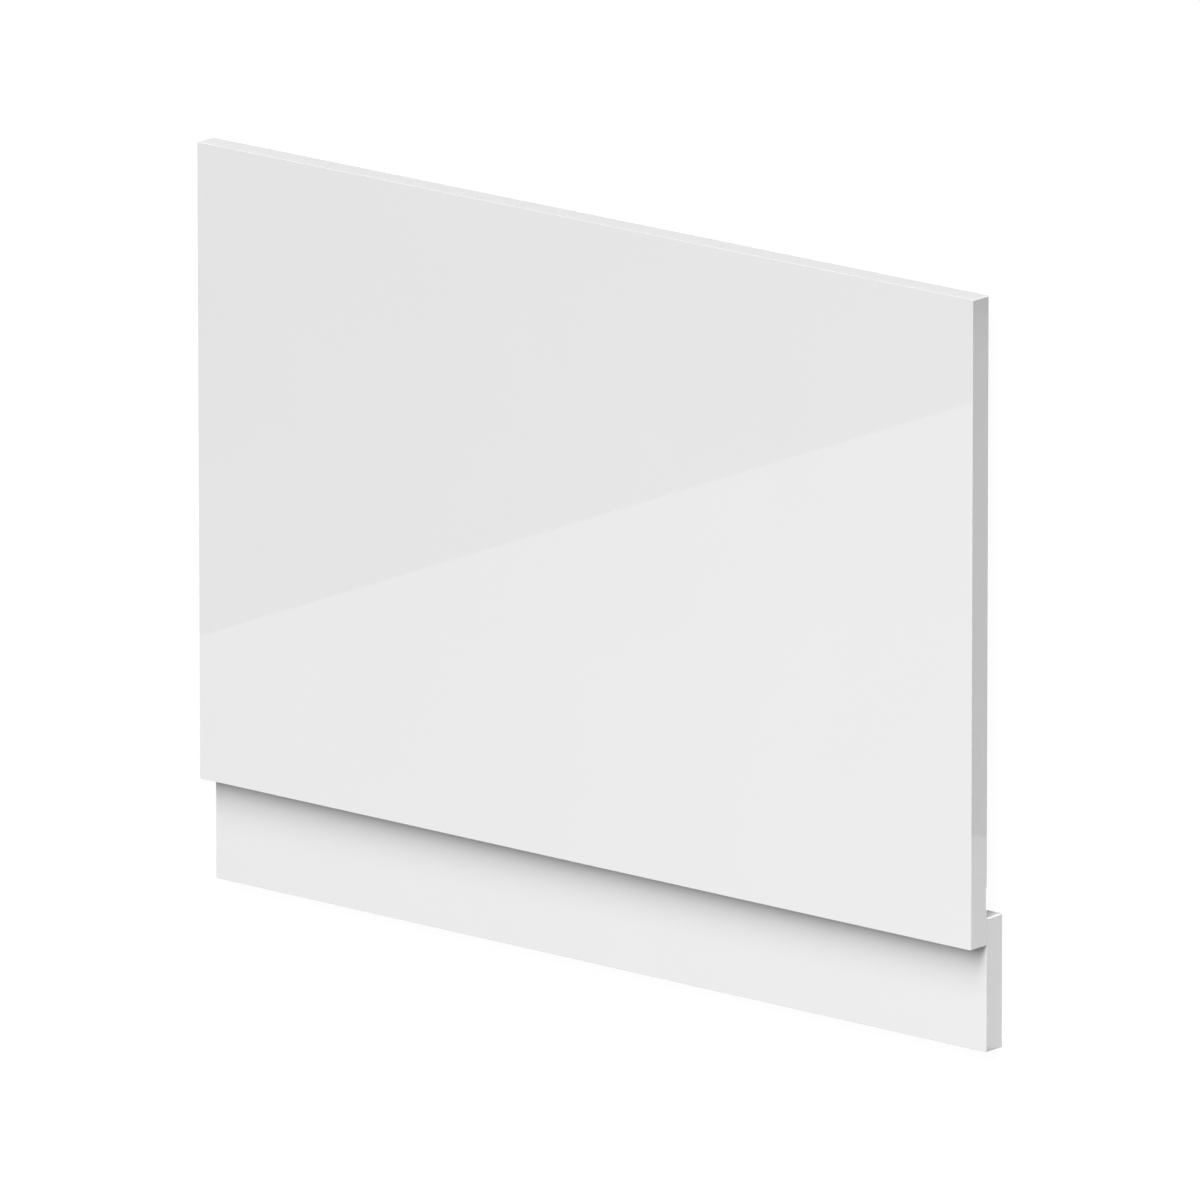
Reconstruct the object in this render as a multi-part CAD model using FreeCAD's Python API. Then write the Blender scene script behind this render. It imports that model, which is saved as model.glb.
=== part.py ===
import FreeCAD, Part
import math
import os

# A two-piece bath end panel, lying on its back with its gloss face up.
# The front board covers the end of the bath. The plinth board is screwed flat against its back,
# overlaps its lower edge and stands below it, set back by the thickness of the front board.
# +X runs along the width, +Y from the plinth's foot to the panel's top edge, +Z out of the gloss face.
# The origin is at the middle of the outline, on the plane of the plinth's back.

# Driving dimensions, in millimetres and degrees
board_width = 750.0          # both boards, across the end of the bath
panel_height = 491.0         # front board, from its lower edge to its top edge
panel_thickness = 18.0
plinth_reveal = 81.0         # plinth that shows below the front board
plinth_overlap = 21.0        # plinth hidden behind the front board
plinth_thickness = 18.0
corner_radius = 1.0          # four corners of each board, as its face shows them
face_arris_radius = 0.25     # crisp arrises round the gloss face
back_arris_radius = 0.3      # eased arrises round the back
screw_count = 3
screw_end_margin = 100.0     # outer screws, from the ends of the boards
screw_hole_diameter = 4.5    # clearance for a 4 mm screw
screw_sink_diameter = 9.0    # mouth of the countersink on the plinth's back
screw_sink_angle = 90.0      # full angle of the countersink
pilot_diameter = 3.0         # blind pilot hole in the back of the front board
pilot_depth = 12.0           # to the drill's shoulder
drill_point_angle = 118.0    # full angle of the pilot hole's bottom

# Places that follow from them
overall_height = panel_height + plinth_reveal
plinth_height = plinth_reveal + plinth_overlap
left_end = -board_width / 2
plinth_foot = -overall_height / 2
plinth_top = plinth_foot + plinth_height
panel_foot = plinth_foot + plinth_reveal
panel_back = plinth_thickness
screw_row = (panel_foot + plinth_top) / 2


def half_angle_run(rise, full_angle):
    """Length along the axis of a cone that widens by this much in radius."""
    return rise / math.tan(math.radians(full_angle / 2))


def flat_edges(shape, level):
    """Edges that lie all along one height."""
    return [e for e in shape.Edges if all(abs(v.Z - level) < 1e-6 for v in e.Vertexes)]


def upright_edges(shape):
    """Edges that run from the back to the face."""
    return [e for e in shape.Edges if e.BoundBox.ZLength > 1e-6]


def board(foot, back, height, thickness):
    """A sawn board with rounded corners, then crisp arrises at its face and eased ones at its back."""
    corner = FreeCAD.Vector(left_end, foot, back)
    blank = Part.makeBox(board_width, height, thickness, corner)
    cornered = blank.makeFillet(corner_radius, upright_edges(blank))
    faced = cornered.makeFillet(face_arris_radius, flat_edges(cornered, back + thickness))
    return faced.makeFillet(back_arris_radius, flat_edges(faced, back))


def turned(outline):
    """A solid of revolution about Z, from (radius, height) points of its half section."""
    points = [FreeCAD.Vector(radius, 0, height) for radius, height in outline]
    half_section = Part.Face(Part.makePolygon(points + points[:1]))
    return half_section.revolve(FreeCAD.Vector(0, 0, 0), FreeCAD.Vector(0, 0, 1), 360)


def countersunk_hole():
    """Cutter for a screw hole right through the plinth, sunk at its back."""
    hole_radius = screw_hole_diameter / 2
    sink_radius = screw_sink_diameter / 2
    sink_depth = half_angle_run(sink_radius - hole_radius, screw_sink_angle)
    return turned([
        (0, 0),
        (sink_radius, 0),
        (hole_radius, sink_depth),
        (hole_radius, plinth_thickness),
        (0, plinth_thickness),
    ])


def pilot_hole():
    """Cutter for a blind drilled hole into the front board's back."""
    pilot_radius = pilot_diameter / 2
    shoulder = panel_back + pilot_depth
    return turned([
        (0, panel_back),
        (pilot_radius, panel_back),
        (pilot_radius, shoulder),
        (0, shoulder + half_angle_run(pilot_radius, drill_point_angle)),
    ])


def screw_places():
    """Screw axes, evenly spaced along the middle of the overlap."""
    first = left_end + screw_end_margin
    pitch = (board_width - 2 * screw_end_margin) / (screw_count - 1)
    return [FreeCAD.Vector(first + i * pitch, screw_row, 0) for i in range(screw_count)]


def drilled(solid, cutter):
    """The solid with one copy of the cutter taken out at each screw."""
    return solid.cut([cutter.translated(place) for place in screw_places()])


def panel():
    """The front board, with its pilot holes."""
    return drilled(board(panel_foot, panel_back, panel_height, panel_thickness), pilot_hole())


def plinth():
    """The lower board, with its countersunk screw holes."""
    return drilled(board(plinth_foot, 0, plinth_height, plinth_thickness), countersunk_hole())


os.makedirs("parts", exist_ok=True)
panel().exportStep("parts/panel.step")
plinth().exportStep("parts/plinth.step")
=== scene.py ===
import math

import bmesh
import bpy
from bpy.props import FloatProperty, FloatVectorProperty, IntProperty, PointerProperty
from bpy.types import Operator, Panel, PropertyGroup
from mathutils import Matrix, Quaternion, Vector


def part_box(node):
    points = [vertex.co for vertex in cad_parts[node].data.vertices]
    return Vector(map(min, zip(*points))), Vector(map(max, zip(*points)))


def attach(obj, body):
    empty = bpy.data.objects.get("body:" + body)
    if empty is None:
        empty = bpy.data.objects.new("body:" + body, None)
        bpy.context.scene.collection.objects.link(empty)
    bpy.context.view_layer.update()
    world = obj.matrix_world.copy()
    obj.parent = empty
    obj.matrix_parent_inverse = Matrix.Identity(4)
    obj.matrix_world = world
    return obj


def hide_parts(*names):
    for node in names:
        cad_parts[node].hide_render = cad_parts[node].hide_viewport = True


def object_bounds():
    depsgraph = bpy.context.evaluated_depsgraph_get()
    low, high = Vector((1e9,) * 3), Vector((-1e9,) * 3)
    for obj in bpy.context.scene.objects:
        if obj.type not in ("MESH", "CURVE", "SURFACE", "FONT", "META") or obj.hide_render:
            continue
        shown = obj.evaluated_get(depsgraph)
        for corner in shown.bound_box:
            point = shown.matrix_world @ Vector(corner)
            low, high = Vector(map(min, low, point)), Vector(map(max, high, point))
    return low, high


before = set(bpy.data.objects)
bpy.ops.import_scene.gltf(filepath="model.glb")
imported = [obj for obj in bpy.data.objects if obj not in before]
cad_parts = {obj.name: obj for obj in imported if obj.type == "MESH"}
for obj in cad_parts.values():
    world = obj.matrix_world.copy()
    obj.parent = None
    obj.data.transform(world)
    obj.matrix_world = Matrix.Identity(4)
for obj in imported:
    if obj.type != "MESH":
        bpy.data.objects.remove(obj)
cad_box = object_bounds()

bl_info = {
    "name": "Bath end panel",
    "version": (1, 0, 0),
    "blender": (4, 5, 0),
    "location": "3D View > Sidebar > Bath panel",
    "description": "Models a gloss bath end panel, its plinth and screws, and sets it in a studio",
    "category": "Object",
}

MM = 0.001
TOUCH = 0.01 * MM                # two places closer than this are the same place
ALONG = 0.99                     # a unit normal this long on one axis points along it
SIDES = 48                       # sides of a turned piece
BOARD_CREASE = math.radians(35)  # a board's edges that turn by more than this stay crisp
SCREW_CREASE = math.radians(30)  # a screw's edges that turn by more than this stay crisp
SCREW_TURN = math.radians(37)    # each screw was driven home this much further than the last
MIX_A, MIX_B, MIXED = 6, 7, 2    # a colour Mix node's two inputs and its output, by number
STRIP_LIFT = 0.1 * MM            # each strip on the floor lies this much above the last
STRIP_MARGIN = 2 * MM            # each strip runs this far past what the gloss mirrors
PAGE_WHITE = 1.0                 # brightness of the white page past the floor
UP_THE_FACE = Vector((0, 1, 0))  # up in the picture, which shows the panel as if it stood


def linear(code):
    """A colour written as sRGB hex, as linear values."""
    shares = [int(code[i:i + 2], 16) / 255 for i in (1, 3, 5)]
    return [s / 12.92 if s <= 0.04045 else ((s + 0.055) / 1.055) ** 2.4 for s in shares]


class BathPanelSizes(PropertyGroup):
    """Sizes of the boards' edges and of the screws. The boards' own sizes come from the CAD parts
    in model.glb.
    """
    corner: FloatProperty(
        name="Corner", description="Radius of the four corners, seen from the face",
        default=1.0 * MM, unit="LENGTH")
    face_arris: FloatProperty(
        name="Face arris", description="Radius of the edges round the gloss face",
        default=0.25 * MM, unit="LENGTH")
    back_arris: FloatProperty(
        name="Back arris", description="Radius of the eased edges round the back",
        default=0.3 * MM, unit="LENGTH")
    arris_steps: IntProperty(
        name="Arris steps", description="Flats that make up a rounded edge", default=8)
    foil_edge: FloatProperty(
        name="Foil edge", description="Width of the trimmed foil seen round the back",
        default=0.4 * MM, unit="LENGTH")
    foil_step: FloatProperty(
        name="Foil step", description="How far the trimmed foil stands above the back",
        default=0.1 * MM, unit="LENGTH")
    screw_count: IntProperty(name="Screws", description="Screws along the overlap", default=3)
    screw_margin: FloatProperty(
        name="Screw margin", description="Outer screws, from the ends of the boards",
        default=100 * MM, unit="LENGTH")
    hole: FloatProperty(
        name="Screw hole", description="Clearance hole through the plinth",
        default=4.5 * MM, unit="LENGTH")
    sink: FloatProperty(
        name="Countersink", description="Mouth of the 90 degree countersink on the plinth's back",
        default=9.0 * MM, unit="LENGTH")
    pilot: FloatProperty(
        name="Pilot hole", description="Pilot hole in the back of the front board",
        default=3.0 * MM, unit="LENGTH")
    pilot_depth: FloatProperty(
        name="Pilot depth", description="Depth of the pilot hole to the drill's shoulder",
        default=12.0 * MM, unit="LENGTH")
    screw_length: FloatProperty(
        name="Screw length", description="From the flat of the head to the point",
        default=29.5 * MM, unit="LENGTH")
    screw_head: FloatProperty(
        name="Screw head", description="Diameter of the countersunk head",
        default=8.0 * MM, unit="LENGTH")
    screw_core: FloatProperty(
        name="Screw core", description="Diameter at the root of the thread",
        default=2.7 * MM, unit="LENGTH")
    screw_thread: FloatProperty(
        name="Screw thread", description="Diameter over the thread",
        default=4.0 * MM, unit="LENGTH")
    thread_pitch: FloatProperty(
        name="Thread pitch", description="Rise of the thread in one turn",
        default=1.8 * MM, unit="LENGTH")


class BathPanelFinish(PropertyGroup):
    """Colours of the finishes."""
    foil: FloatVectorProperty(
        name="Foil", description="Gloss PVC foil on the face and edges",
        default=linear("#e8e8e8"), size=3, min=0, max=1, subtype="COLOR")
    melamine: FloatVectorProperty(
        name="Melamine", description="Melamine paper on the back",
        default=linear("#e6e5e1"), size=3, min=0, max=1, subtype="COLOR")
    mdf: FloatVectorProperty(
        name="MDF", description="Raw board inside the holes",
        default=linear("#b08d62"), size=3, min=0, max=1, subtype="COLOR")
    zinc: FloatVectorProperty(
        name="Zinc", description="Plating of the screws",
        default=linear("#c8ccd0"), size=3, min=0, max=1, subtype="COLOR")


class BathPanelStudio(PropertyGroup):
    """Camera and light. Azimuth and elevation are those of the panel when it stands upright."""
    azimuth: FloatProperty(
        name="Azimuth", description="Camera's turn from square-on towards the panel's right end",
        default=math.radians(40.39), subtype="ANGLE")
    elevation: FloatProperty(
        name="Elevation", description="Camera's rise from square-on towards the panel's top edge",
        default=math.radians(14.70), subtype="ANGLE")
    roll: FloatProperty(
        name="Roll", description="Camera's turn about its own line of sight",
        default=math.radians(-0.03), subtype="ANGLE")
    distance: FloatProperty(
        name="Distance", description="From the camera to the point that it aims at",
        default=19.749, unit="LENGTH")
    aim: FloatVectorProperty(
        name="Aim", description="Point in the middle of the picture",
        default=(2.6 * MM, -3.8 * MM, 17.1 * MM), size=3, subtype="TRANSLATION")
    lens: FloatProperty(
        name="Lens", description="Focal length on a 36 mm sensor",
        default=801.5, unit="CAMERA")
    floor: FloatVectorProperty(
        name="Floor", description="Colour of the matt floor, which sends light up at the edges",
        default=linear("#cccccc"), size=3, min=0, max=1, subtype="COLOR")
    page: FloatProperty(
        name="Page", description="Brightness of the white page as the camera sees it",
        default=1.07)
    page_share: FloatProperty(
        name="Page share",
        description="Share of the floor's picture that is white page, the rest takes shadow",
        default=0.9, min=0, max=1, subtype="FACTOR")
    sky: FloatProperty(
        name="Sky", description="Brightness of the room's even light", default=0.1)
    key: FloatProperty(
        name="Key", description="Brightness of the tall soft light above the panel's top edge",
        default=9.4)
    key_azimuth: FloatProperty(
        name="Key azimuth",
        description="Key light's turn from square-on towards the panel's right end",
        default=math.radians(15), subtype="ANGLE")
    key_lean: FloatProperty(
        name="Key lean",
        description="Key light's rise from square-on towards the panel's top edge",
        default=math.radians(40.5), subtype="ANGLE")
    key_distance: FloatProperty(
        name="Key distance", description="Far enough off to light the whole face evenly",
        default=30.0, unit="LENGTH")
    key_spread: FloatVectorProperty(
        name="Key spread", description="Half angles across and up that the key light fills",
        default=(math.radians(14), math.radians(27)), size=2, subtype="EULER")
    card_level: FloatProperty(
        name="Card level",
        description="Height above the face of the two cards that the gloss mirrors",
        default=1.0, unit="LENGTH")
    card_reach: FloatVectorProperty(
        name="Card reach",
        description="How far from their middle the cards keep their brightness, and where they end",
        default=(0.55, 0.9), size=2, unit="LENGTH")
    card_rise: FloatVectorProperty(
        name="Card rise",
        description="How the cards' brightness grows per metre along the face and up it",
        default=(0.45, -1.1), size=2)
    bright_card: FloatProperty(
        name="Bright card",
        description="Brightness mirrored at the middle of the face, below the line",
        default=1.15)
    dim_card: FloatProperty(
        name="Dim card",
        description="Brightness mirrored at the middle of the face, above the line",
        default=0.4)
    line_left: FloatProperty(
        name="Line left", description="Height of the mirrored line at the panel's left end",
        default=0.2245, min=0, max=1, subtype="FACTOR")
    line_right: FloatProperty(
        name="Line right", description="Height of the mirrored line at the panel's right end",
        default=0.843, min=0, max=1, subtype="FACTOR")
    flag_foot: FloatProperty(
        name="Flag foot",
        description="Height at the panel's right end down to which its gloss mirrors the side flag",
        default=0.173, min=0, max=1, subtype="FACTOR")
    side_flag: FloatVectorProperty(
        name="Side flag",
        description="Brightness that the panel's right end mirrors at the flag's foot and top",
        default=(1.19, 0.83), size=2)
    side_card: FloatVectorProperty(
        name="Side card",
        description="Brightness that both right ends mirror at the plinth's foot and flag's foot",
        default=(2.5, 2.02), size=2)
    top_flag: FloatVectorProperty(
        name="Top flag",
        description="Depth of the black card that keeps the floor's light off the top edge, "
        "and how far it runs past the ends",
        default=(0.25, 0.04), size=2, unit="LENGTH")
    top_card: FloatProperty(
        name="Top card", description="Brightness that the panel's top edge mirrors", default=1.02)
    plinth_flag: FloatProperty(
        name="Plinth flag", description="Brightness that the plinth's top edge mirrors",
        default=0.8)
    rim_card: FloatProperty(
        name="Rim card",
        description="Brightness that the panel's corner between top edge and right end mirrors",
        default=4.5)
    plinth_rim_card: FloatProperty(
        name="Plinth rim card",
        description="Brightness that the plinth's corner between top edge and right end mirrors",
        default=7.0)


def add_node(tree, kind, settings=(), links=()):
    """Adds a node, sets its inputs, by name or number, or its properties, and links its inputs."""
    node = tree.nodes.new(kind)
    for name, value in dict(settings).items():
        if isinstance(name, int) or name in node.inputs:
            node.inputs[name].default_value = value
        else:
            setattr(node, name, value)
    for name, output in dict(links).items():
        tree.links.new(output, node.inputs[name])
    return node


def new_material(name):
    """An empty node material and its output node."""
    material = bpy.data.materials.new(name)
    material.use_nodes = True
    material.node_tree.nodes.clear()
    return material, add_node(material.node_tree, "ShaderNodeOutputMaterial")


def shade(colour, factor):
    """The colour, lighter or darker, as a full RGBA value."""
    return [min(1.0, c * factor) for c in colour] + [1.0]


def gloss_pvc_foil(finish):
    """Gloss PVC foil, drawn over the board under heat and vacuum."""
    # The foil is a clean neutral white with a sharp mirror on top. The board's fibres lift it very
    # slightly, so the mirror has a faint orange peel and the gloss differs a little by place.
    peel = 5.0 * MM
    peel_height = 0.0004 * MM
    gloss_patch = 4 * peel
    cloud = 140.0 * MM
    material, output = new_material("gloss_pvc_foil")
    tree = material.node_tree
    place = add_node(tree, "ShaderNodeTexCoord").outputs["Object"]
    clouds = add_node(
        tree, "ShaderNodeTexNoise", {"Scale": 1 / cloud, "Detail": 2.0}, {"Vector": place})
    white = add_node(
        tree, "ShaderNodeMix",
        {"data_type": "RGBA", MIX_A: shade(finish.foil, 0.99), MIX_B: shade(finish.foil, 1.01)},
        {"Factor": clouds.outputs["Fac"]})
    patches = add_node(
        tree, "ShaderNodeTexNoise", {"Scale": 1 / gloss_patch, "Detail": 3.0}, {"Vector": place})
    gloss = add_node(
        tree, "ShaderNodeMapRange", {"To Min": 0.012, "To Max": 0.024},
        {"Value": patches.outputs["Fac"]})
    dimples = add_node(
        tree, "ShaderNodeTexNoise", {"Scale": 1 / peel, "Detail": 1.0}, {"Vector": place})
    bump = add_node(
        tree, "ShaderNodeBump", {"Strength": 1.0, "Distance": peel_height},
        {"Height": dimples.outputs["Fac"]})
    foil = add_node(
        tree, "ShaderNodeBsdfPrincipled", {"IOR": 1.53},
        {"Base Color": white.outputs[MIXED], "Roughness": gloss.outputs["Result"],
         "Normal": bump.outputs["Normal"]})
    tree.links.new(foil.outputs["BSDF"], output.inputs["Surface"])
    return material


def pressed_white_melamine(finish):
    """White melamine paper, pressed on the back of the board against a pearl plate."""
    # The plate leaves a fine pebble that kills the mirror and gives the back a soft even sheen.
    # The real pebble is about 0.4 mm across. It is drawn three times coarser, so that it shows.
    pebble = 1.2 * MM
    pebble_height = 0.08 * MM
    cloud = 60.0 * MM
    material, output = new_material("pressed_white_melamine")
    tree = material.node_tree
    place = add_node(tree, "ShaderNodeTexCoord").outputs["Object"]
    clouds = add_node(
        tree, "ShaderNodeTexNoise", {"Scale": 1 / cloud, "Detail": 3.0}, {"Vector": place})
    white = add_node(
        tree, "ShaderNodeMix",
        {"data_type": "RGBA", MIX_A: shade(finish.melamine, 0.97),
         MIX_B: shade(finish.melamine, 1.02)},
        {"Factor": clouds.outputs["Fac"]})
    pebbles = add_node(tree, "ShaderNodeTexVoronoi", {"Scale": 1 / pebble}, {"Vector": place})
    sheen = add_node(
        tree, "ShaderNodeMapRange", {"To Min": 0.38, "To Max": 0.52},
        {"Value": pebbles.outputs["Distance"]})
    bump = add_node(
        tree, "ShaderNodeBump", {"Strength": 1.0, "Distance": pebble_height},
        {"Height": pebbles.outputs["Distance"]})
    paper = add_node(
        tree, "ShaderNodeBsdfPrincipled", {"IOR": 1.5},
        {"Base Color": white.outputs[MIXED], "Roughness": sheen.outputs["Result"],
         "Normal": bump.outputs["Normal"]})
    tree.links.new(paper.outputs["BSDF"], output.inputs["Surface"])
    return material


def drilled_mdf(finish):
    """Medium density fibreboard, cut open by a drill."""
    # Cut MDF is a dull tan felt of short fibres, with paler and darker specks.
    fibre = 0.5 * MM
    fibre_height = 0.1 * MM
    material, output = new_material("drilled_mdf")
    tree = material.node_tree
    place = add_node(tree, "ShaderNodeTexCoord").outputs["Object"]
    felt = add_node(
        tree, "ShaderNodeTexNoise", {"Scale": 1 / fibre, "Detail": 4.0}, {"Vector": place})
    tan = add_node(
        tree, "ShaderNodeMix",
        {"data_type": "RGBA", MIX_A: shade(finish.mdf, 0.8), MIX_B: shade(finish.mdf, 1.2)},
        {"Factor": felt.outputs["Fac"]})
    bump = add_node(
        tree, "ShaderNodeBump", {"Strength": 0.6, "Distance": fibre_height},
        {"Height": felt.outputs["Fac"]})
    board = add_node(
        tree, "ShaderNodeBsdfPrincipled", {"Roughness": 0.9, "IOR": 1.45},
        {"Base Color": tan.outputs[MIXED], "Normal": bump.outputs["Normal"]})
    tree.links.new(board.outputs["BSDF"], output.inputs["Surface"])
    return material


def zinc_plated_steel(finish):
    """Steel screw, rolled, then bright zinc plated and passivated."""
    # The plating is a pale, slightly cloudy metal, duller where the passivation is thicker.
    patch = 1.5 * MM
    material, output = new_material("zinc_plated_steel")
    tree = material.node_tree
    place = add_node(tree, "ShaderNodeTexCoord").outputs["Object"]
    patches = add_node(
        tree, "ShaderNodeTexNoise", {"Scale": 1 / patch, "Detail": 3.0}, {"Vector": place})
    plating = add_node(
        tree, "ShaderNodeMix",
        {"data_type": "RGBA", MIX_A: shade(finish.zinc, 0.88), MIX_B: shade(finish.zinc, 1.05)},
        {"Factor": patches.outputs["Fac"]})
    dull = add_node(
        tree, "ShaderNodeMapRange", {"To Min": 0.24, "To Max": 0.4},
        {"Value": patches.outputs["Fac"]})
    steel = add_node(
        tree, "ShaderNodeBsdfPrincipled", {"Metallic": 1.0},
        {"Base Color": plating.outputs[MIXED], "Roughness": dull.outputs["Result"]})
    tree.links.new(steel.outputs["BSDF"], output.inputs["Surface"])
    return material


BOARD_FINISHES = (gloss_pvc_foil, pressed_white_melamine, drilled_mdf)


def page_rays(tree):
    """A factor of 1 for rays that picture the background: direct, mirrored or through glass."""
    rays = add_node(tree, "ShaderNodeLightPath").outputs
    seen = add_node(
        tree, "ShaderNodeMath", {"operation": "MAXIMUM"},
        {0: rays["Is Camera Ray"], 1: rays["Is Glossy Ray"]})
    page = add_node(
        tree, "ShaderNodeMath", {"operation": "MAXIMUM"},
        {0: seen.outputs[0], 1: rays["Is Transmission Ray"]})
    return page.outputs[0]


def matt_white_floor(studio):
    """Matt white floor that pictures as a white page and still takes a faint shadow."""
    material, output = new_material("matt_white_floor")
    tree = material.node_tree
    share = add_node(
        tree, "ShaderNodeMath", {"operation": "MULTIPLY", 1: studio.page_share},
        {0: page_rays(tree)})
    matt = add_node(tree, "ShaderNodeBsdfDiffuse", {"Color": shade(studio.floor, 1.0)})
    white = add_node(tree, "ShaderNodeEmission", {"Strength": studio.page})
    mixed = add_node(
        tree, "ShaderNodeMixShader", (),
        {0: share.outputs[0], 1: matt.outputs[0], 2: white.outputs[0]})
    tree.links.new(mixed.outputs[0], output.inputs["Surface"])
    return material


def lit_card(name, brightness, middle, rise, reach):
    """A card that glows with painted light, by its brightness in the middle and its growth per
    metre.

    It keeps that brightness up to the first reach and is page white from the second on.
    """
    material, output = new_material(name)
    tree = material.node_tree
    place = add_node(tree, "ShaderNodeTexCoord").outputs["Object"]
    offset = add_node(
        tree, "ShaderNodeVectorMath", {"operation": "SUBTRACT", 1: middle}, {0: place})
    growth = add_node(
        tree, "ShaderNodeVectorMath", {"operation": "DOT_PRODUCT", 1: rise},
        {0: offset.outputs[0]})
    grown = add_node(
        tree, "ShaderNodeMath", {"operation": "ADD", 1: brightness},
        {0: growth.outputs["Value"]})
    level = add_node(
        tree, "ShaderNodeMath", {"operation": "MAXIMUM", 1: 0.0}, {0: grown.outputs[0]})
    away = add_node(
        tree, "ShaderNodeVectorMath", {"operation": "LENGTH"}, {0: offset.outputs[0]})
    glow_level = add_node(
        tree, "ShaderNodeMapRange",
        {"interpolation_type": "SMOOTHSTEP", "From Min": reach[0], "From Max": reach[1],
         "To Max": PAGE_WHITE},
        {"Value": away.outputs["Value"], "To Min": level.outputs[0]})
    # The card's light is painted: an emission whose strength is set by place on the card, with no
    # lamp on it.
    paper = add_node(tree, "ShaderNodeEmission", (), {"Strength": glow_level.outputs["Result"]})
    tree.links.new(paper.outputs["Emission"], output.inputs["Surface"])
    return material


def select_edges(piece, wanted):
    """In edit mode, selects the edges whose two ends pass the test."""
    mesh = bmesh.from_edit_mesh(piece.data)
    bpy.ops.mesh.select_all(action="DESELECT")
    for edge in mesh.edges:
        edge.select_set(wanted(edge.verts[0].co, edge.verts[1].co))
    bmesh.update_edit_mesh(piece.data)


def select_faces(piece, wanted):
    """In edit mode, selects the faces whose middle and normal pass the test."""
    mesh = bmesh.from_edit_mesh(piece.data)
    bpy.ops.mesh.select_all(action="DESELECT")
    for face in mesh.faces:
        face.select_set(wanted(face.calc_center_median(), face.normal))
    bmesh.update_edit_mesh(piece.data)


def pick(piece):
    """Selects one piece alone and makes it the active one."""
    bpy.ops.object.select_all(action="DESELECT")
    piece.select_set(True)
    bpy.context.view_layer.objects.active = piece


def apply_modifier(piece, kind, **settings):
    """Adds one modifier to the piece and applies it."""
    modifier = piece.modifiers.new(kind.title(), kind)
    for name, value in settings.items():
        setattr(modifier, name, value)
    pick(piece)
    bpy.ops.object.modifier_apply(modifier=modifier.name)


def combine(piece, other, operation):
    """Cuts another solid out of the piece, or joins it on, and removes the other."""
    faces = len(piece.data.polygons)
    apply_modifier(piece, "BOOLEAN", object=other, operation=operation, solver="EXACT")
    if len(piece.data.polygons) <= faces:
        raise RuntimeError(f"{operation} of {other.name} left {piece.name} as it was")
    bpy.data.objects.remove(other)


def smooth_by_angle(piece, crease):
    """Smooth shading, with edges sharper than the crease kept crisp and flats kept flat."""
    pick(piece)
    bpy.ops.object.shade_smooth_by_angle(angle=crease)
    apply_modifier(piece, "WEIGHTED_NORMAL", keep_sharp=True)


def put_at_origin(piece):
    """Moves the piece's place, turn and size into its mesh."""
    pick(piece)
    bpy.ops.object.transform_apply(location=True, rotation=True, scale=True)


def round_edges(radius, steps):
    """In edit mode, rounds the selected edges."""
    bpy.ops.mesh.bevel(
        offset=radius, offset_type="OFFSET", segments=steps, profile=0.5, clamp_overlap=False)


def screw_places(sizes):
    """Where each screw's axis meets the plinth's back: a row along the middle of the overlap."""
    panel_low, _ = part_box("panel")
    plinth_low, plinth_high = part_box("plinth")
    row = (panel_low.y + plinth_high.y) / 2
    first = plinth_low.x + sizes.screw_margin
    pitch = (plinth_high.x - plinth_low.x - 2 * sizes.screw_margin) / (sizes.screw_count - 1)
    return [Vector((first + i * pitch, row, plinth_low.z)) for i in range(sizes.screw_count)]


def add_turned(name, place, stations):
    """A turned solid: a disc, extruded up and resized to each (height, radius) in turn."""
    height, radius = stations[0]
    bpy.ops.object.select_all(action="DESELECT")
    bpy.ops.mesh.primitive_circle_add(
        vertices=SIDES, radius=radius, fill_type="NGON", location=place + Vector((0, 0, height)))
    piece = bpy.context.object
    piece.name = piece.data.name = name
    bpy.ops.object.mode_set(mode="EDIT")
    bpy.ops.mesh.select_all(action="SELECT")
    for next_height, next_radius in stations[1:]:
        step = (0, 0, next_height - height)
        bpy.ops.mesh.extrude_region_move(TRANSFORM_OT_translate={"value": step})
        ratio = next_radius / radius
        bpy.ops.transform.resize(value=(ratio, ratio, 1))
        height, radius = next_height, next_radius
    bpy.ops.mesh.select_all(action="SELECT")
    bpy.ops.mesh.normals_make_consistent(inside=False)
    bpy.ops.object.mode_set(mode="OBJECT")
    put_at_origin(piece)
    return piece


def add_board(node, sizes, finish):
    """A board in a CAD node's place: a block with rounded edges and trimmed foil round its back."""
    low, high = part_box(node)
    bpy.ops.object.select_all(action="DESELECT")
    bpy.ops.mesh.primitive_cube_add(size=1, location=(low + high) / 2, scale=high - low)
    board = bpy.context.object
    board.name = board.data.name = node + "_board"
    put_at_origin(board)
    bpy.ops.object.mode_set(mode="EDIT")
    bpy.ops.mesh.select_mode(type="EDGE")
    select_edges(board, lambda a, b: abs(a.z - b.z) > TOUCH)
    round_edges(sizes.corner, sizes.arris_steps)
    select_edges(board, lambda a, b: min(a.z, b.z) > high.z - TOUCH)
    round_edges(sizes.face_arris, sizes.arris_steps)
    select_edges(board, lambda a, b: max(a.z, b.z) < low.z + TOUCH)
    round_edges(sizes.back_arris, sizes.arris_steps // 2)
    bpy.ops.mesh.select_mode(type="FACE")
    select_faces(board, lambda middle, normal: middle.z < low.z + TOUCH and normal.z < -ALONG)
    bpy.ops.mesh.inset(thickness=sizes.foil_edge, depth=-sizes.foil_step)
    bpy.ops.object.mode_set(mode="OBJECT")
    for material in BOARD_FINISHES:
        bpy.ops.object.material_slot_add()
        made = bpy.data.materials.get(material.__name__)
        board.material_slots[-1].material = made or material(finish)
    return board


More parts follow.
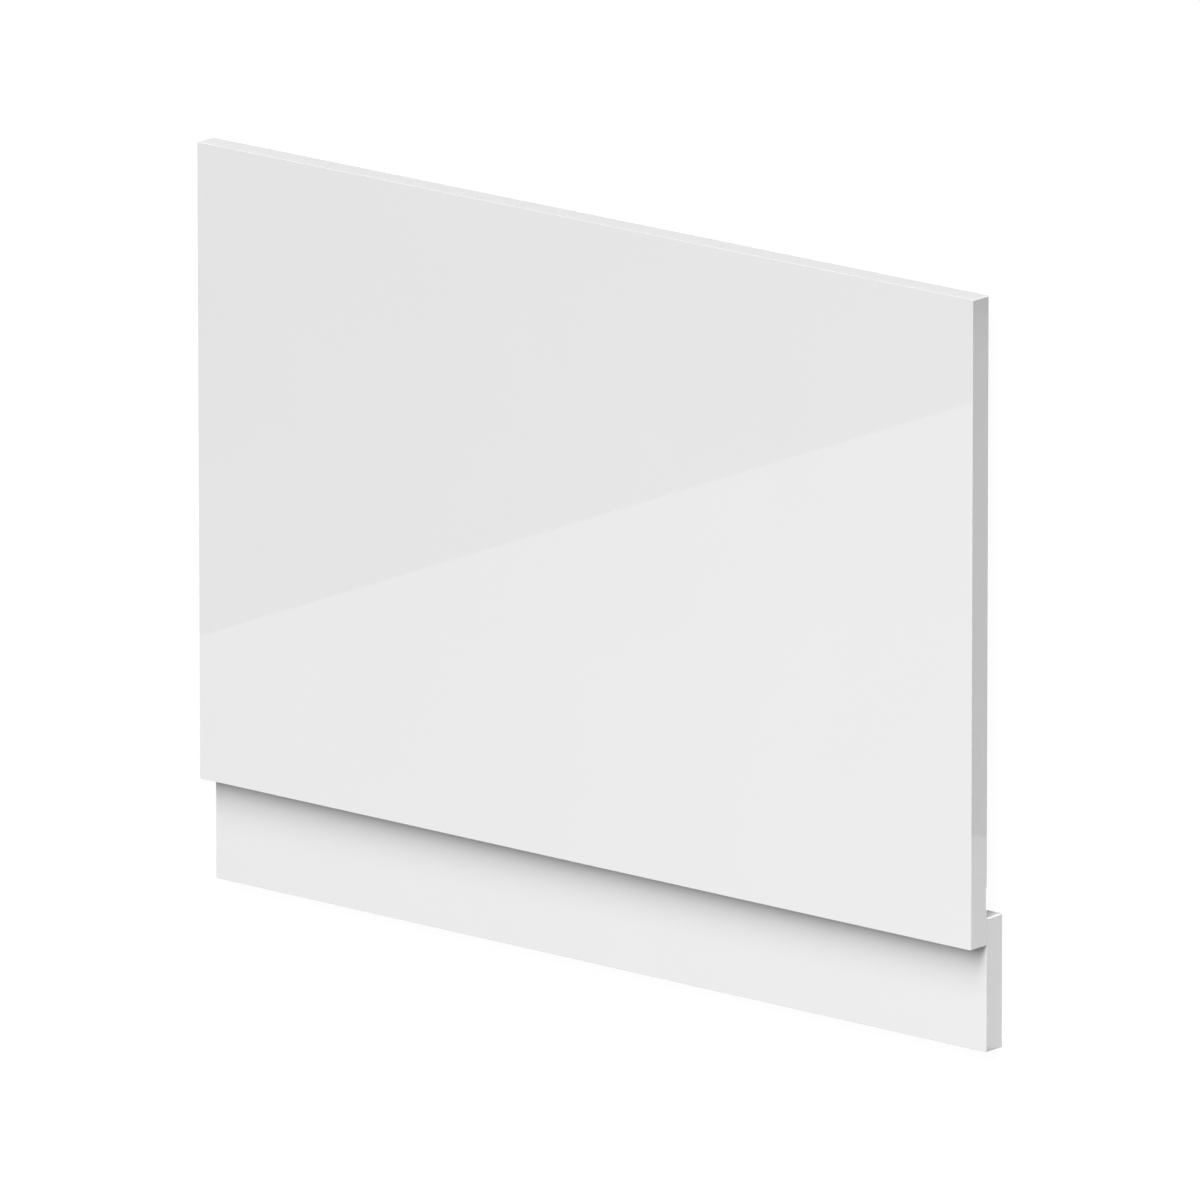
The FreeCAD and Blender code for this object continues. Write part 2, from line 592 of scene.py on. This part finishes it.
def paint_back(board, node, sizes):
    """Gives the recessed back its melamine and the holes' walls their raw board."""
    low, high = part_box(node)
    places = screw_places(sizes)
    back = low.z + sizes.foil_step

    def on_back(middle, normal):
        """Whether a face is part of the flat recessed back."""
        return abs(middle.z - back) < TOUCH and normal.z < -ALONG

    def in_hole(middle, normal):
        """Whether a face is part of a hole's wall."""
        between = back + sizes.foil_step < middle.z < high.z - sizes.face_arris
        near = any((middle.xy - place.xy).length < sizes.sink / 2 for place in places)
        return between and near

    bpy.ops.object.mode_set(mode="EDIT")
    bpy.ops.mesh.select_mode(type="FACE")
    for material, wanted in ((pressed_white_melamine, on_back), (drilled_mdf, in_hole)):
        select_faces(board, wanted)
        board.active_material_index = BOARD_FINISHES.index(material)
        bpy.ops.object.material_slot_assign()
    bpy.ops.object.mode_set(mode="OBJECT")


def finish_board(board, node, sizes):
    """Paints and smooths a board, and sets it in the CAD node's place."""
    paint_back(board, node, sizes)
    smooth_by_angle(board, BOARD_CREASE)
    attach(board, "root")
    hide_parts(node)


class BATHPANEL_OT_panel(Operator):
    """Model the front board, with the pilot holes in its back"""
    bl_idname = "bath_panel.panel"
    bl_label = "Front board"

    def execute(self, context):
        sizes = context.scene.bath_panel_sizes
        board = add_board("panel", sizes, context.scene.bath_panel_finish)
        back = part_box("panel")[0].z
        radius = sizes.pilot / 2
        shoulder = back + sizes.pilot_depth
        point = 0.58 * radius  # height of a 118 degree drill's point
        tip = 0.03 * radius
        for place in screw_places(sizes):
            drill = add_turned("drill", place, [
                (back - sizes.pilot, radius),
                (shoulder, radius),
                (shoulder + point, tip),
            ])
            combine(board, drill, "DIFFERENCE")
        finish_board(board, "panel", sizes)
        return {"FINISHED"}


class BATHPANEL_OT_plinth(Operator):
    """Model the plinth board, with its countersunk screw holes"""
    bl_idname = "bath_panel.plinth"
    bl_label = "Plinth board"

    def execute(self, context):
        sizes = context.scene.bath_panel_sizes
        board = add_board("plinth", sizes, context.scene.bath_panel_finish)
        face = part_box("plinth")[1].z
        hole, mouth = sizes.hole / 2, sizes.sink / 2
        for place in screw_places(sizes):
            drill = add_turned("drill", place, [
                (-hole, mouth + hole),
                (mouth - hole, hole),
                (face + hole, hole),
            ])
            combine(board, drill, "DIFFERENCE")
        finish_board(board, "plinth", sizes)
        return {"FINISHED"}


def add_cross_drive(sizes):
    """Cutter for the cross recess in a screw head: a block grown into a cross, tapered inwards."""
    wing = 0.13 * sizes.screw_head
    reach = 0.27 * sizes.screw_head
    depth = 0.3 * sizes.screw_head
    taper = 0.45
    bpy.ops.object.select_all(action="DESELECT")
    bpy.ops.mesh.primitive_cube_add(size=1, location=(0, 0, 0), scale=(wing, wing, 2 * depth))
    cross = bpy.context.object
    put_at_origin(cross)
    bpy.ops.object.mode_set(mode="EDIT")
    bpy.ops.mesh.select_mode(type="FACE")
    select_faces(cross, lambda middle, normal: abs(normal.z) < ALONG)
    bpy.ops.mesh.extrude_faces_move(TRANSFORM_OT_shrink_fatten={"value": reach - wing / 2})
    select_faces(cross, lambda middle, normal: middle.z > depth - TOUCH)
    bpy.ops.transform.resize(value=(taper, taper, 1))
    bpy.ops.mesh.select_all(action="SELECT")
    bpy.ops.mesh.remove_doubles(threshold=TOUCH)
    bpy.ops.mesh.normals_make_consistent(inside=False)
    bpy.ops.object.mode_set(mode="OBJECT")
    return cross


def add_thread(sizes, start, turns):
    """The screw's thread: a triangle wound up round the core, with closed ends."""
    root = 0.45 * sizes.screw_core
    crest = sizes.screw_thread / 2
    foot_width = 0.55 * sizes.thread_pitch
    middle = Vector(((root + crest) / 2, 0, start))
    bpy.ops.object.select_all(action="DESELECT")
    bpy.ops.mesh.primitive_plane_add(size=1, location=middle, rotation=(math.pi / 2, 0, 0))
    thread = bpy.context.object
    thread.scale = (crest - root, foot_width, 1)
    put_at_origin(thread)
    bpy.ops.object.mode_set(mode="EDIT")
    bpy.ops.mesh.select_mode(type="VERT")
    select_edges(thread, lambda a, b: min(a.x, b.x) > crest - TOUCH)
    bpy.ops.mesh.merge(type="CENTER")
    bpy.ops.mesh.select_all(action="SELECT")
    bpy.ops.mesh.delete(type="ONLY_FACE")
    bpy.ops.object.mode_set(mode="OBJECT")
    apply_modifier(
        thread, "SCREW", axis="Z", angle=2 * math.pi, screw_offset=sizes.thread_pitch,
        iterations=turns, steps=SIDES // 2, render_steps=SIDES // 2,
        use_merge_vertices=True, merge_threshold=TOUCH)
    bpy.ops.object.mode_set(mode="EDIT")
    bpy.ops.mesh.select_all(action="SELECT")
    bpy.ops.mesh.remove_doubles(threshold=TOUCH)
    bpy.ops.mesh.fill_holes(sides=0)
    bpy.ops.mesh.normals_make_consistent(inside=False)
    bpy.ops.object.mode_set(mode="OBJECT")
    # Turned by half a side, so that no edge of the thread runs along an edge of the core.
    thread.rotation_euler.z = math.pi / SIDES
    put_at_origin(thread)
    return thread


def add_screw(sizes):
    """One countersunk wood screw, point up, with its head's flat at the origin."""
    head, core = sizes.screw_head / 2, sizes.screw_core / 2
    rim = 0.25 * MM
    neck = head - core
    neck_radius = 1.15 * core
    shank = neck + 2 * MM
    thread_start = neck + 3 * MM
    point = sizes.screw_length - 2.2 * sizes.screw_core
    tip = 0.05 * core
    screw = add_turned("screw", Vector((0, 0, 0)), [
        (0, head - 0.5 * rim),
        (0.5 * rim, head),
        (rim, head),
        (neck + rim, neck_radius),
        (shank, core),
        (point, core),
        (sizes.screw_length, tip),
    ])
    turns = int((point - thread_start) / sizes.thread_pitch)
    combine(screw, add_thread(sizes, thread_start, turns), "UNION")
    combine(screw, add_cross_drive(sizes), "DIFFERENCE")
    return screw


class BATHPANEL_OT_screws(Operator):
    """Model one countersunk screw and copy it along the overlap"""
    bl_idname = "bath_panel.screws"
    bl_label = "Screws"

    def execute(self, context):
        sizes = context.scene.bath_panel_sizes
        screw = add_screw(sizes)
        smooth_by_angle(screw, SCREW_CREASE)
        screw.data.materials.clear()
        screw.data.materials.append(zinc_plated_steel(context.scene.bath_panel_finish))
        sunk = Vector((0, 0, sizes.foil_step))
        for i, place in enumerate(screw_places(sizes)):
            copy = screw.copy()
            copy.data = screw.data.copy()
            copy.name = copy.data.name = f"screw_{i + 1}"
            context.collection.objects.link(copy)
            copy.location = place + sunk
            copy.rotation_euler.z = (i + 1) * SCREW_TURN
            put_at_origin(copy)
            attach(copy, "root")
        bpy.data.objects.remove(screw)
        return {"FINISHED"}


def standing_direction(azimuth, elevation):
    """Direction from the panel, by angles that hold when it stands. It lies face up here."""
    return Vector((
        math.sin(azimuth) * math.cos(elevation),
        math.sin(elevation),
        math.cos(azimuth) * math.cos(elevation)))


def facing(direction):
    """Turn of a camera or lamp that looks along a direction, with its top up the face."""
    right = direction.cross(UP_THE_FACE).normalized()
    top = right.cross(direction)
    return Matrix((right, top, -direction)).transposed().to_quaternion()


def eye(studio):
    """Where the camera stands."""
    out = standing_direction(studio.azimuth, studio.elevation)
    return Vector(studio.aim) + studio.distance * out


def add_camera(studio):
    """The long-lens camera of the picture."""
    turn = facing((Vector(studio.aim) - eye(studio)).normalized())
    turn = turn @ Quaternion((0, 0, 1), studio.roll)
    bpy.ops.object.camera_add(location=eye(studio), rotation=turn.to_euler())
    camera = bpy.context.object
    camera.data.sensor_fit = "HORIZONTAL"
    camera.data.lens = studio.lens
    bpy.context.scene.camera = camera


def add_floor(studio):
    """A plain pale floor under the plinth's back, wide enough to fill the picture."""
    width = 3 * studio.distance
    bpy.ops.mesh.primitive_plane_add(size=width, location=(0, 0, cad_box[0].z))
    floor = bpy.context.object
    floor.name = "floor"
    floor.data.materials.append(matt_white_floor(studio))


def add_key(studio):
    """A tall soft light above the face, leaning towards the panel's top edge."""
    out = standing_direction(studio.key_azimuth, studio.key_lean)
    width, height = [2 * studio.key_distance * math.tan(half) for half in studio.key_spread]
    bpy.ops.object.light_add(
        type="AREA", location=studio.key_distance * out, rotation=facing(-out).to_euler())
    lamp = bpy.context.object
    lamp.name = "key"
    lamp.data.shape = "RECTANGLE"
    lamp.data.size, lamp.data.size_y = width, height
    lamp.data.energy = studio.key * math.pi * width * height
    lamp.visible_camera = False
    lamp.visible_glossy = False


def add_sky(studio):
    """Even light from all round, pictured as a white page past the floor."""
    world = bpy.data.worlds.new("studio")
    world.use_nodes = True
    tree = world.node_tree
    tree.nodes.clear()
    room = add_node(tree, "ShaderNodeBackground", {"Strength": studio.sky})
    page = add_node(tree, "ShaderNodeBackground", {"Strength": PAGE_WHITE})
    mixed = add_node(
        tree, "ShaderNodeMixShader", (),
        {0: page_rays(tree), 1: room.outputs[0], 2: page.outputs[0]})
    add_node(tree, "ShaderNodeOutputWorld", (), {"Surface": mixed.outputs[0]})
    bpy.context.scene.world = world


def add_card(name, middle, size, turn, material):
    """A flat card over or beside the part. It shows in the gloss alone and casts no shade."""
    bpy.ops.mesh.primitive_plane_add(size=1, location=middle, rotation=(0, 0, turn))
    card = bpy.context.object
    card.name = name
    card.scale = (size[0], size[1], 1)
    put_at_origin(card)
    card.data.materials.append(material)
    card.visible_camera = False
    card.visible_diffuse = False
    card.visible_shadow = False
    return card


def add_gloss_cards(studio):
    """Two glowing cards of painted light, a bright and a dim one, over the gloss face, which
    mirrors their edge as a diagonal line.
    """
    low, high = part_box("panel")
    camera = eye(studio)
    level = high.z + studio.card_level
    reach = studio.card_level / (camera.z - high.z)

    def mirrored(x, share):
        """Where the sight line to a place on the face meets the cards, once mirrored there."""
        y = low.y + share * (high.y - low.y)
        return Vector((x + reach * (x - camera.x), y + reach * (y - camera.y), level))

    left, right = mirrored(low.x, studio.line_left), mirrored(high.x, studio.line_right)
    centre = mirrored((low.x + high.x) / 2, 0.5)
    along = (right - left).normalized()
    down = along.cross(Vector((0, 0, 1)))
    turn = math.atan2(along.y, along.x)
    rise = (*studio.card_rise, 0)
    size = 2 * studio.card_reach[1]
    cards = (("bright_card", down, studio.bright_card), ("dim_card", -down, studio.dim_card))
    for name, side, brightness in cards:
        # Each card glows with painted light that grows across it, and the face's gloss mirrors it.
        paper = lit_card(name, brightness, centre, rise, studio.card_reach)
        add_card(name, (left + right) / 2 + side * size / 2, (size, size), turn, paper)


def add_floor_cards(studio):
    """Glowing strips of painted light on the floor, which the gloss of the top edges, right ends
    and corners mirrors.
    """
    panel_low, panel_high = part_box("panel")
    plinth_low, plinth_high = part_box("plinth")
    floor = cad_box[0].z
    out = standing_direction(studio.azimuth, studio.elevation)
    sideways = out.x / out.z
    upwards = out.y / out.z
    outwards = math.hypot(sideways, upwards)
    right = panel_high.x
    shown_foot = panel_low.y + studio.flag_foot * (panel_high.y - panel_low.y)
    flag_foot = shown_foot - upwards * (panel_low.z + panel_high.z) / 2
    card_foot = plinth_low.y - STRIP_MARGIN
    endless = (studio.distance, 2 * studio.distance)

    def side_strip(low, high, bottom, top):
        """Strip that a right end mirrors between two heights above the floor."""
        return right + sideways * low, right + sideways * high + STRIP_MARGIN, bottom, top

    def top_strip(edge, low, high):
        """Strip that a top edge mirrors between two heights above the floor."""
        left = plinth_low.x - sideways * high
        return left, right, edge + upwards * low, edge + upwards * high + STRIP_MARGIN

    def rim_patch(edge, high):
        """Patch that the corner at the right end of a top edge mirrors, up to a height."""
        return right, right + sideways * high, edge, edge + outwards * high

    # Each strip has a name, a brightness at its foot and at its top, and its left, right, foot
    # and top on the floor.
    strips = (
        ("side_flag", *studio.side_flag,
         side_strip(panel_low.z, panel_high.z, flag_foot, panel_high.y)),
        ("side_card", *studio.side_card,
         side_strip(plinth_low.z, panel_high.z, card_foot, flag_foot)),
        ("top_card", studio.top_card, studio.top_card,
         top_strip(panel_high.y, panel_low.z, panel_high.z)),
        ("plinth_flag", studio.plinth_flag, studio.plinth_flag,
         top_strip(plinth_high.y, plinth_low.z, plinth_high.z)),
        ("rim_card", studio.rim_card, studio.rim_card,
         rim_patch(panel_high.y, panel_high.z)),
        ("plinth_rim_card", studio.plinth_rim_card, studio.plinth_rim_card,
         rim_patch(plinth_high.y, plinth_high.z)),
    )
    for i, (name, at_foot, at_top, (left, end, bottom, top)) in enumerate(strips):
        lift = (i + 1) * STRIP_LIFT
        middle = Vector(((left + end) / 2, (bottom + top) / 2, floor + lift))
        rise = (0, (at_top - at_foot) / (top - bottom), 0)
        # Each strip glows with painted light, running from its brightness at the foot to its
        # brightness at the top.
        paper = lit_card(name, (at_foot + at_top) / 2, middle, rise, endless)
        add_card(name, middle, (end - left, top - bottom), 0, paper)

    # The top flag is black to the light that the floor sends up, and doesn't show in the gloss.
    depth, overhang = studio.top_flag
    middle = Vector((0, panel_high.y + depth / 2, floor + STRIP_LIFT))
    size = (panel_high.x - panel_low.x + 2 * overhang, depth)
    black = lit_card("top_flag", 0, middle, (0, 0, 0), endless)
    top_flag = add_card("top_flag", middle, size, 0, black)
    top_flag.visible_diffuse = True
    top_flag.visible_glossy = False


class BATHPANEL_OT_stage(Operator):
    """Set the camera, floor and lights round the part"""
    bl_idname = "bath_panel.stage"
    bl_label = "Studio"

    def execute(self, context):
        studio = context.scene.bath_panel_studio
        bpy.ops.object.select_all(action="DESELECT")
        add_camera(studio)
        add_floor(studio)
        add_key(studio)
        add_sky(studio)
        add_gloss_cards(studio)
        add_floor_cards(studio)
        context.scene.view_settings.view_transform = "Standard"
        return {"FINISHED"}


class BATHPANEL_PT_sidebar(Panel):
    """Sizes, colours and steps of the bath panel"""
    bl_idname = "BATHPANEL_PT_sidebar"
    bl_label = "Bath panel"
    bl_space_type = "VIEW_3D"
    bl_region_type = "UI"
    bl_category = "Bath panel"

    def draw(self, context):
        for group in (
                context.scene.bath_panel_sizes,
                context.scene.bath_panel_finish,
                context.scene.bath_panel_studio):
            for name in group.__annotations__:
                self.layout.prop(group, name)
        for step in OPERATORS:
            self.layout.operator(step.bl_idname)


GROUPS = (BathPanelSizes, BathPanelFinish, BathPanelStudio)
OPERATORS = (BATHPANEL_OT_panel, BATHPANEL_OT_plinth, BATHPANEL_OT_screws, BATHPANEL_OT_stage)


def register():
    for cls in (*GROUPS, *OPERATORS, BATHPANEL_PT_sidebar):
        bpy.utils.register_class(cls)
    bpy.types.Scene.bath_panel_sizes = PointerProperty(type=BathPanelSizes)
    bpy.types.Scene.bath_panel_finish = PointerProperty(type=BathPanelFinish)
    bpy.types.Scene.bath_panel_studio = PointerProperty(type=BathPanelStudio)


def unregister():
    del bpy.types.Scene.bath_panel_studio
    del bpy.types.Scene.bath_panel_finish
    del bpy.types.Scene.bath_panel_sizes
    for cls in reversed((*GROUPS, *OPERATORS, BATHPANEL_PT_sidebar)):
        bpy.utils.unregister_class(cls)


def main():
    register()
    bpy.ops.bath_panel.panel()
    bpy.ops.bath_panel.plinth()
    bpy.ops.bath_panel.screws()
    bpy.ops.bath_panel.stage()


if __name__ == "__main__":
    main()
